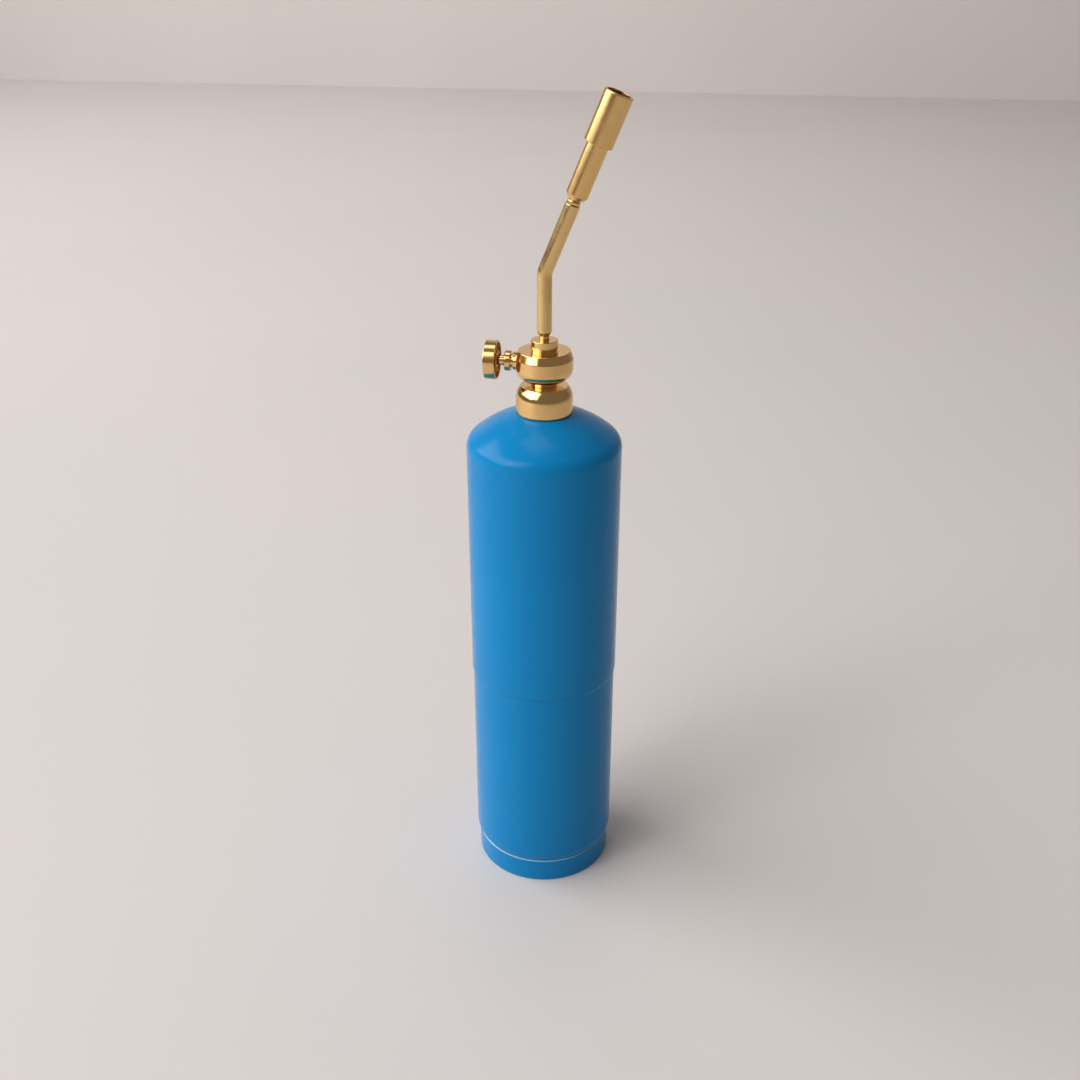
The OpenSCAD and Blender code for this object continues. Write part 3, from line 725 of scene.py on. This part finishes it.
def make_jet():
    tube_end = tube_end_along()
    start, shoulder, end = tube_end + 0.6, tube_end + COLLAR_LENGTH, tube_end + 5.4
    shank_r, r, bore, hole, cap = 1.2, 1.95, 0.6, 0.2, 0.8
    loop = eased([(bore, start), (shank_r, start), (shank_r, shoulder), (r, shoulder),
                  (r, end, 0.2), (hole, end), (hole, end - cap), (bore, end - cap)])
    settle(swept("jet_turned", loop, ALONG_BURNER, 64), "head", "valve_brass", "jet")


def make_mixing_tube():
    rear, r, jet_r = tube_end_along() + MIXING_REAR, box_mm("mixing_tube")[1].y, 1.95
    end, bore = rear + 26.6, r - 0.8
    loop = eased([(jet_r, rear), (r - 1, rear, 0.5), (r, rear + 1.6, 0.7), (r, end),
                  (bore, end), (bore, rear + 2), (jet_r, rear + 2)], 6)
    settle(swept("mixing_tube_turned", loop, ALONG_BURNER, 128),
           "head", "burner_brass", "mixing_tube")


def make_flame_tube():
    start, end, r = burner_span("flame_tube")
    holder_to = tube_end_along() + MIXING_REAR + 31.6
    socket, mouth = box_mm("mixing_tube")[1].y, 5.2
    loop = eased([(socket, start, 0.05), (r, start, 0.35), (r, end, 0.42), (mouth, end, 0.2),
                  (mouth, holder_to), (socket, holder_to)], 6)
    settle(swept("flame_tube_turned", loop, ALONG_BURNER, 160),
           "head", "burner_brass", "flame_tube")


def finish_cad_nodes():
    """The nodes that keep their CAD shape get the finish of their material slot."""
    for part in frame["record"]["subparts"]:
        for slot in frame["nodes"][part["node"]].material_slots:
            slot.link = "OBJECT"
            slot.material = FINISH[part["material_slot"]]


# ---------------------------------------------------------------- stage, lights and camera

VIEW_TURN = math.radians(10)
CAMERA_BACK, CAMERA_UP, CAMERA_PITCH = 0.5216, 0.4463, 26.63
CAMERA_YAW = 0.0038                        # radians, a little off the torch's axis
LENS, SENSOR = 39.85, 36.0
WALL_LEFT, WALL_RIGHT = (-1.936, 4.577), (1.682, 3.947)     # metres right of, ahead of the camera
SOFTBOX = (1.0, 0.975, 0.965)
AIM_HEIGHT = 0.2


def staged(right, forward, up):
    """A point by its distance from the torch's foot to the camera's right, forward and up."""
    c, s = math.cos(VIEW_TURN), math.sin(VIEW_TURN)
    return Vector((right * c - forward * s, right * s + forward * c, up))


def make_camera():
    data = bpy.data.cameras.new("camera")
    data.lens = LENS
    data.sensor_width = SENSOR
    data.clip_start = 0.01
    camera = bpy.data.objects.new("camera", data)
    bpy.context.scene.collection.objects.link(camera)
    camera.location = staged(0, -CAMERA_BACK, CAMERA_UP)
    camera.rotation_euler = Euler((math.radians(90 - CAMERA_PITCH), 0, VIEW_TURN + CAMERA_YAW))
    bpy.context.scene.camera = camera


def make_light(name, place, target, size, power, colour):
    data = bpy.data.lights.new(name, "AREA")
    data.shape = "RECTANGLE"
    data.size, data.size_y = size
    data.energy = power
    data.color = colour
    light = bpy.data.objects.new(name, data)
    bpy.context.scene.collection.objects.link(light)
    light.location = place
    light.rotation_euler = (target - place).to_track_quat("-Z", "Y").to_euler()


def make_slab(name, corners, material):
    mesh = bpy.data.meshes.new(name)
    mesh.from_pydata(corners, [], [tuple(range(len(corners)))])
    slab = bpy.data.objects.new(name, mesh)
    bpy.context.scene.collection.objects.link(slab)
    mesh.materials.append(material)


def make_stage():
    floor = stage_surface("studio_floor", (0.70, 0.67, 0.655), (0.68, 0.655, 0.645), 0.36, 0.4)
    wall = stage_surface("studio_wall", (0.70, 0.67, 0.655), (0.68, 0.65, 0.635), 0.6, 0.3)
    reach, wall_height = 9.0, 4
    left = staged(WALL_LEFT[0], WALL_LEFT[1] - CAMERA_BACK, 0)
    right = staged(WALL_RIGHT[0], WALL_RIGHT[1] - CAMERA_BACK, 0)
    along = (right - left).normalized() * reach
    middle = (left + right) / 2
    front = staged(0, -reach, 0)
    make_slab("floor", [middle - along, front - along, front + along, middle + along], floor)
    up = Vector((0, 0, wall_height))
    make_slab("backdrop", [middle + along, middle - along, middle - along + up,
                           middle + along + up], wall)


def around(turn, rise, distance):
    """A place at a bearing to the left of the camera's side, an elevation and a distance, from a
    point halfway up the torch."""
    turn, rise = math.radians(turn), math.radians(rise)
    flat = distance * math.cos(rise)
    return staged(-flat * math.sin(turn), -flat * math.cos(turn),
                  distance * math.sin(rise) + AIM_HEIGHT)


def make_lights():
    target = Vector((0, 0, AIM_HEIGHT))
    make_light("key", around(86, 34, 3.6), target, (4.6, 2.4), 146.0, SOFTBOX)
    make_light("front", around(45, 38, 3.6), target, (1.9, 2.6), 40.0, SOFTBOX)
    make_light("top", around(150, 80, 3.0), target, (1.2, 1.2), 9.0, SOFTBOX)
    make_light("wall_wash", staged(-1.2, 2.4, 2.0), staged(-0.6, 3.9, 0.4), (4.0, 0.8), 12.0,
               (1.0, 0.96, 0.95))
    world = bpy.data.worlds.new("studio")
    world.use_nodes = True
    world.node_tree.nodes["Background"].inputs["Color"].default_value = rgb(0.90, 0.80, 0.74)
    world.node_tree.nodes["Background"].inputs["Strength"].default_value = 0.24
    bpy.context.scene.world = world
    bpy.context.scene.view_settings.view_transform = "Standard"


make_camera()
make_stage()
make_lights()
finish_cad_nodes()
make_upper_shell()
make_lower_shell()
make_girth_braze()
make_foot_ring()
make_neck_boss()
make_neck_weld()
make_relief_valve()
make_coupling_nut()
make_inlet_spigot()
make_valve_body()
make_gland_nut()
make_needle_stem()
make_control_knob()
make_outlet_nut()
make_feed_tube()
make_jet_collar()
make_jet()
make_mixing_tube()
make_flame_tube()
